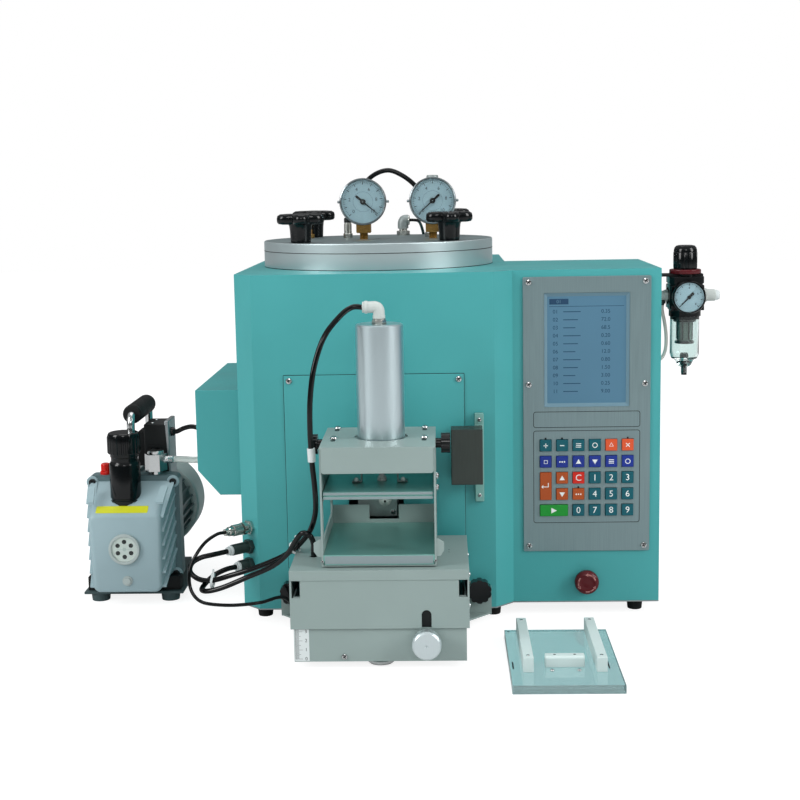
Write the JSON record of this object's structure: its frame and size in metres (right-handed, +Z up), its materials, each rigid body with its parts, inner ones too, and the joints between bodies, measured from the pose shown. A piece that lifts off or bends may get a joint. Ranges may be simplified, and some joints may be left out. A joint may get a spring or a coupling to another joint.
{
  "type": "jewelry wax injector",
  "caption": "Tabletop wax injector: round heated pot with a bolted lid, control tower with keys and display, air-cylinder mould clamp, separate vacuum pump, regulator and clear mould plate.",
  "frame": {"origin": "on the floor under the middle of the whole set without its hoses", "axes": "+X to the operator's right, +Y from the operator to the back, +Z up"},
  "size_m": [0.7764, 0.629, 0.531],
  "materials": {
    "teal_paint": "smooth satin powder coat",
    "grey_paint": "fine grey powder coat",
    "zinc_sheet": "plain zinc-plated sheet",
    "panel_metal": "fine brushed panel",
    "turned_aluminium": "turned, satin",
    "white_anodised": "bright satin anodised",
    "bright_steel": "polished",
    "rail_steel": "dark ground steel",
    "nozzle_metal": "nickel-plated brass",
    "stem_brass": "machined",
    "black_rubber": "matte",
    "black_plastic": "glossy moulded",
    "hose_black": "smooth tube",
    "seal_white": "silicone",
    "screen": "backlit blue-white display",
    "key_blue": "printed key",
    "key_teal": "printed key",
    "key_green": "printed key",
    "stop_red": "glossy",
    "cap_red": "glossy",
    "pump_paint": "blue-grey cast paint",
    "motor_paint": "light grey",
    "clear_bowl": "clear polycarbonate",
    "clear_acrylic": "clear acrylic",
    "nylon": "white nylon",
    "needle_black": "matte"
  },
  "bodies": {
    "cabinet": {"cabinet_shell": "teal_paint", "cabinet_chassis": "zinc_sheet", "cabinet_feet": "black_rubber", "access_panel": "teal_paint", "panel_screws": "bright_steel", "valve_box": "teal_paint", "control_panel": "panel_metal", "display_screen": "screen", "wax_tank": "turned_aluminium", "lid_gasket": "seal_white", "lid_studs": "bright_steel", "nozzle_block": "rail_steel", "side_block": "rail_steel", "clamp_housing": "grey_paint", "hose_fittings": "bright_steel", "regulator_body": "rail_steel", "regulator_bowl": "clear_bowl", "regulator_gauge": "black_plastic", "pump_case": "pump_paint", "pump_motor": "motor_paint", "pump_base": "black_rubber", "exhaust_filter": "black_plastic", "oil_cap": "cap_red", "pump_inlet": "bright_steel", "pump_handle": "bright_steel", "switch_box": "black_plastic", "hose_loom": "hose_black", "mould_plate": "clear_acrylic", "mould_bars": "nylon"},
    "lid": {"tank_lid": "turned_aluminium", "vacuum_gauge": "bright_steel", "pressure_gauge": "bright_steel", "lid_fittings": "bright_steel", "lid_hoses": "hose_black"},
    "lift": {"lift_cover": "grey_paint"},
    "clamp": {"table_plate": "turned_aluminium", "clamp_frame": "grey_paint", "head_bracket": "grey_paint", "air_cylinder": "white_anodised"},
    "press": {"press_plate": "turned_aluminium", "piston_rod": "bright_steel"},
    "lid_knob_front_left": {"lid_knob_front_left": "black_plastic"},
    "lid_knob_front_right": {"lid_knob_front_right": "black_plastic"},
    "lid_knob_back_left": {"lid_knob_back_left": "black_plastic"},
    "lid_knob_back_right": {"lid_knob_back_right": "black_plastic"},
    "vacuum_needle": {"vacuum_needle": "needle_black"},
    "pressure_needle": {"pressure_needle": "needle_black"},
    "regulator_needle": {"regulator_needle": "needle_black"},
    "nozzle_tip": {"nozzle_tip": "nozzle_metal"},
    "height_knob": {"height_knob": "white_anodised"},
    "lift_wheel": {"lift_wheel": "bright_steel"},
    "mount_knob_left": {"mount_knob_left": "black_plastic"},
    "mount_knob_right": {"mount_knob_right": "black_plastic"},
    "frame_knob_left": {"frame_knob_left": "black_plastic"},
    "frame_knob_right": {"frame_knob_right": "black_plastic"},
    "regulator_knob": {"regulator_knob": "black_plastic"},
    "emergency_stop": {"emergency_stop": "stop_red"},
    "mode_keys": {"mode_keys": "key_teal"},
    "number_keys": {"number_keys": "key_blue"},
    "start_key": {"start_key": "key_green"}
  },
  "joints": [
    {"name": "lid_lift", "type": "slide", "parent": "cabinet", "child": "lid", "axis": [0, 0, 1], "range_m": [0, 0.08]},
    {"name": "lid_knob_front_left_turn", "type": "hinge", "parent": "lid", "child": "lid_knob_front_left", "pos_m": [-0.10705, 0.0317, 0.45], "axis": [0, 0, 1], "continuous": true},
    {"name": "lid_knob_front_right_turn", "type": "hinge", "parent": "lid", "child": "lid_knob_front_right", "pos_m": [0.07255, 0.0317, 0.45], "axis": [0, 0, 1], "continuous": true},
    {"name": "lid_knob_back_left_turn", "type": "hinge", "parent": "lid", "child": "lid_knob_back_left", "pos_m": [-0.10705, 0.2113, 0.45], "axis": [0, 0, 1], "continuous": true},
    {"name": "lid_knob_back_right_turn", "type": "hinge", "parent": "lid", "child": "lid_knob_back_right", "pos_m": [0.07255, 0.2113, 0.45], "axis": [0, 0, 1], "continuous": true},
    {"name": "vacuum_needle_swing", "type": "hinge", "parent": "lid", "child": "vacuum_needle", "pos_m": [-0.035, 0.1041, 0.489], "axis": [0, 1, 0], "range_deg": [-265, 0], "stiffness_Nm_per_rad": 0.001},
    {"name": "pressure_needle_swing", "type": "hinge", "parent": "lid", "child": "pressure_needle", "pos_m": [0.0525, 0.1041, 0.489], "axis": [0, 1, 0], "range_deg": [0, 264], "stiffness_Nm_per_rad": 0.001},
    {"name": "regulator_needle_swing", "type": "hinge", "parent": "cabinet", "child": "regulator_needle", "pos_m": [0.34825, -0.041, 0.375], "axis": [0, 1, 0], "range_deg": [0, 270], "stiffness_Nm_per_rad": 0.001},
    {"name": "table_lift", "type": "slide", "parent": "cabinet", "child": "lift", "axis": [0, 0, 1], "range_m": [-0.025, 0]},
    {"name": "lift_wheel_turn", "type": "hinge", "parent": "cabinet", "child": "lift_wheel", "pos_m": [-0.0075, -0.2195, 0.005], "axis": [0, 0, 1], "range_deg": [0, 2252]},
    {"name": "height_knob_turn", "type": "hinge", "parent": "cabinet", "child": "height_knob", "pos_m": [0.042, -0.2495, 0.0313], "axis": [0, 1, 0], "continuous": true},
    {"name": "mount_knob_left_turn", "type": "hinge", "parent": "cabinet", "child": "mount_knob_left", "pos_m": [-0.117, -0.0815, 0.04], "axis": [0, 1, 0], "continuous": true},
    {"name": "frame_knob_left_turn", "type": "hinge", "parent": "clamp", "child": "frame_knob_left", "pos_m": [-0.0725, -0.1695, 0.2315], "axis": [1, 0, 0], "continuous": true},
    {"name": "mount_knob_right_turn", "type": "hinge", "parent": "cabinet", "child": "mount_knob_right", "pos_m": [0.102, -0.0815, 0.04], "axis": [0, 1, 0], "continuous": true},
    {"name": "frame_knob_right_turn", "type": "hinge", "parent": "clamp", "child": "frame_knob_right", "pos_m": [0.0575, -0.1695, 0.2315], "axis": [1, 0, 0], "continuous": true},
    {"name": "clamp_slide", "type": "slide", "parent": "lift", "child": "clamp", "axis": [0, 1, 0], "range_m": [0, 0.008]},
    {"name": "press_stroke", "type": "slide", "parent": "clamp", "child": "press", "axis": [0, 0, -1], "range_m": [0, 0.05], "stiffness_N_per_m": 200, "springref_m": -0.05},
    {"name": "nozzle_push", "type": "slide", "parent": "cabinet", "child": "nozzle_tip", "axis": [0, 1, 0], "range_m": [0, 0.004], "stiffness_N_per_m": 1500},
    {"name": "regulator_knob_turn", "type": "hinge", "parent": "cabinet", "child": "regulator_knob", "pos_m": [0.34825, -0.0115, 0.42], "axis": [0, 0, 1], "continuous": true},
    {"name": "emergency_stop_push", "type": "slide", "parent": "cabinet", "child": "emergency_stop", "axis": [0, 1, 0], "range_m": [0, 0.003], "stiffness_N_per_m": 1500},
    {"name": "mode_keys_push", "type": "slide", "parent": "cabinet", "child": "mode_keys", "axis": [0, 1, 0], "range_m": [0, 0.0015], "stiffness_N_per_m": 400},
    {"name": "number_keys_push", "type": "slide", "parent": "cabinet", "child": "number_keys", "axis": [0, 1, 0], "range_m": [0, 0.0015], "stiffness_N_per_m": 400},
    {"name": "start_key_push", "type": "slide", "parent": "cabinet", "child": "start_key", "axis": [0, 1, 0], "range_m": [0, 0.0015], "stiffness_N_per_m": 400}
  ],
  "couplings": [
    {"joint": "lift_wheel_turn", "follows": "table_lift", "rad_per_m": -1570.8}
  ]
}
